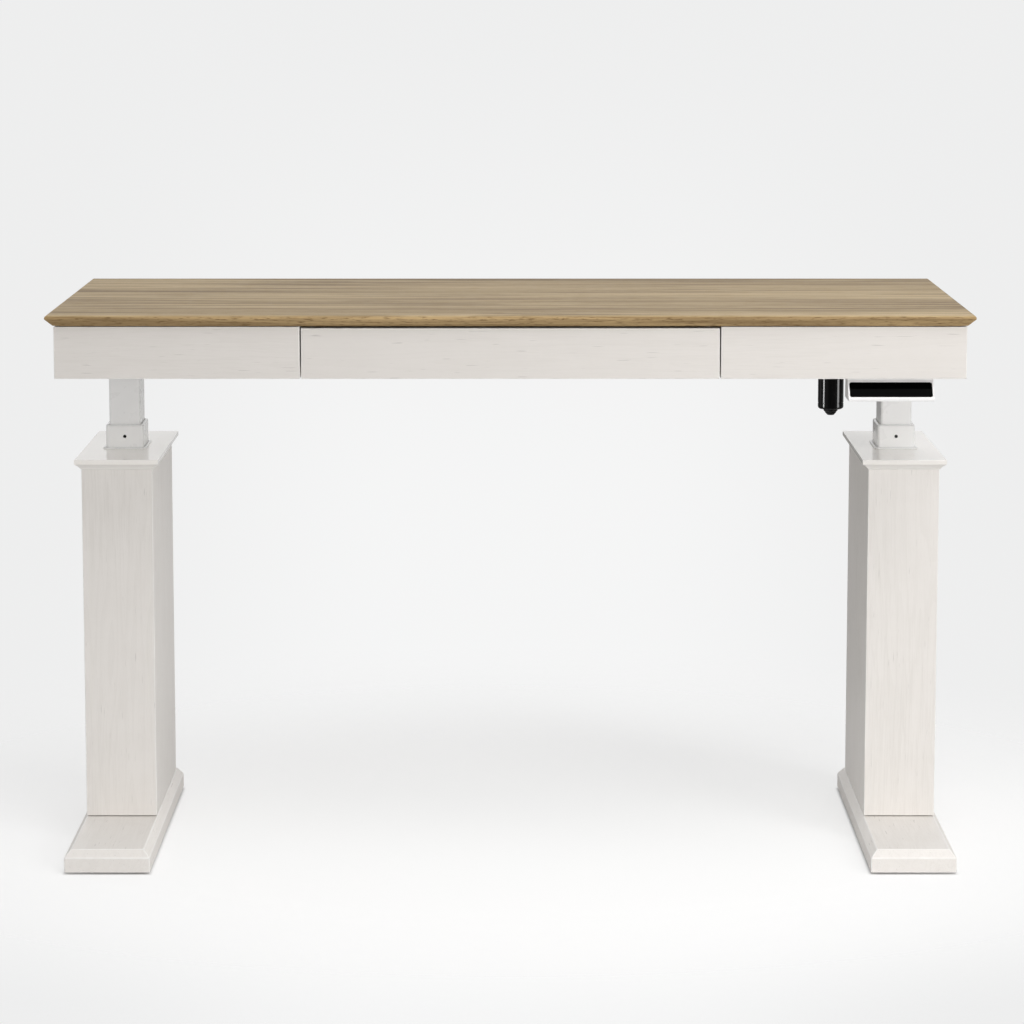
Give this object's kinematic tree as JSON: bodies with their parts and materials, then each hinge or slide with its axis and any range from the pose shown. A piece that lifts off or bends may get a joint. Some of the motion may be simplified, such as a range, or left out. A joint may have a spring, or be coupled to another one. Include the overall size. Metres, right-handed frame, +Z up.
{
  "type": "height adjustable standing desk",
  "caption": "Electric standing desk: oak top with a shallow drawer on two boxed white pedestals, raised by rectangular telescoping columns and one motor.",
  "frame": {"origin": "on the floor, under the middle of the tabletop", "axes": "+X to the user's right along the desk, +Y from the user's side to the back, +Z up; the drawer and the handset face -Y"},
  "size_m": [1.4, 0.6, 0.867],
  "materials": {
    "oak_laminate": "light oak, straight grain along the desk, satin",
    "whitewashed_wood": "warm white paint over fine wood grain, satin",
    "drawer_board": "plain white board, matt",
    "white_metal": "light grey-white powder coat, satin",
    "white_plastic": "white moulded plastic, satin",
    "black_gloss_metal": "black gloss paint",
    "black_gloss_plastic": "black gloss plastic",
    "black_gloss_panel": "black gloss touch panel, blank",
    "black_metal": "black powder coat, fine texture",
    "black_plastic": "black moulded plastic, matt",
    "bare_steel": "bare steel, lightly oiled",
    "zinc_steel": "zinc plated steel",
    "brass": "plain brass",
    "pad_plastic": "dark grey glide plastic"
  },
  "bodies": {
    "base": {"left_back_board": "whitewashed_wood", "left_base_plate": "bare_steel", "left_cap": "whitewashed_wood", "left_foot": "whitewashed_wood", "left_front_board": "whitewashed_wood", "left_front_pad": "pad_plastic", "left_glide_sleeve": "white_plastic", "left_inner_board": "whitewashed_wood", "left_nut_post": "bare_steel", "left_outer_board": "whitewashed_wood", "left_outer_tube": "white_metal", "left_rear_pad": "pad_plastic", "left_spindle_nut": "brass", "left_trim_ring": "white_plastic", "right_back_board": "whitewashed_wood", "right_base_plate": "bare_steel", "right_cap": "whitewashed_wood", "right_foot": "whitewashed_wood", "right_front_board": "whitewashed_wood", "right_front_pad": "pad_plastic", "right_glide_sleeve": "white_plastic", "right_inner_board": "whitewashed_wood", "right_nut_post": "bare_steel", "right_outer_board": "whitewashed_wood", "right_outer_tube": "white_metal", "right_rear_pad": "pad_plastic", "right_spindle_nut": "brass", "right_trim_ring": "white_plastic"},
    "rising_top": {"back_apron": "whitewashed_wood", "control_box": "black_plastic", "crossbeam": "black_metal", "handset_case": "white_plastic", "handset_panel": "black_gloss_panel", "left_cabinet_runner": "zinc_steel", "left_end_apron": "whitewashed_wood", "left_front_apron": "whitewashed_wood", "left_gearbox": "black_metal", "left_inner_tube": "white_metal", "left_runner_board": "drawer_board", "left_top_plate": "black_metal", "motor_end_cap": "black_gloss_plastic", "motor_housing": "black_gloss_metal", "right_cabinet_runner": "zinc_steel", "right_end_apron": "whitewashed_wood", "right_front_apron": "whitewashed_wood", "right_gearbox": "black_metal", "right_inner_tube": "white_metal", "right_runner_board": "drawer_board", "right_top_plate": "black_metal", "tabletop": "oak_laminate"},
    "left_spindle": {"left_spindle": "bare_steel"},
    "right_spindle": {"right_spindle": "bare_steel"},
    "drive_rod": {"drive_rod": "bare_steel"},
    "drawer": {"drawer_back": "drawer_board", "drawer_bottom": "drawer_board", "drawer_front": "whitewashed_wood", "drawer_left_runner": "zinc_steel", "drawer_left_side": "drawer_board", "drawer_right_runner": "zinc_steel", "drawer_right_side": "drawer_board"}
  },
  "joints": [
    {"name": "desk_lift", "type": "slide", "parent": "base", "child": "rising_top", "axis": [0, 0, 1], "range_m": [-0.14, 0.34]},
    {"name": "drawer_slide", "type": "slide", "parent": "rising_top", "child": "drawer", "axis": [0, -1, 0], "range_m": [0, 0.24]},
    {"name": "left_spindle_turn", "type": "hinge", "parent": "rising_top", "child": "left_spindle", "pos_m": [-0.621, 0.09, 0.5], "axis": [0, 0, 1], "range_deg": [-5045, 12245]},
    {"name": "right_spindle_turn", "type": "hinge", "parent": "rising_top", "child": "right_spindle", "pos_m": [0.621, 0.09, 0.5], "axis": [0, 0, 1], "range_deg": [-5045, 12245]},
    {"name": "drive_rod_turn", "type": "hinge", "parent": "rising_top", "child": "drive_rod", "pos_m": [0, 0.09, 0.8259], "axis": [1, 0, 0], "range_deg": [-5045, 12245]}
  ],
  "couplings": [
    {"joint": "left_spindle_turn", "follows": "desk_lift", "rad_per_m": 628.32},
    {"joint": "right_spindle_turn", "follows": "desk_lift", "rad_per_m": 628.32},
    {"joint": "drive_rod_turn", "follows": "desk_lift", "rad_per_m": 628.32}
  ]
}
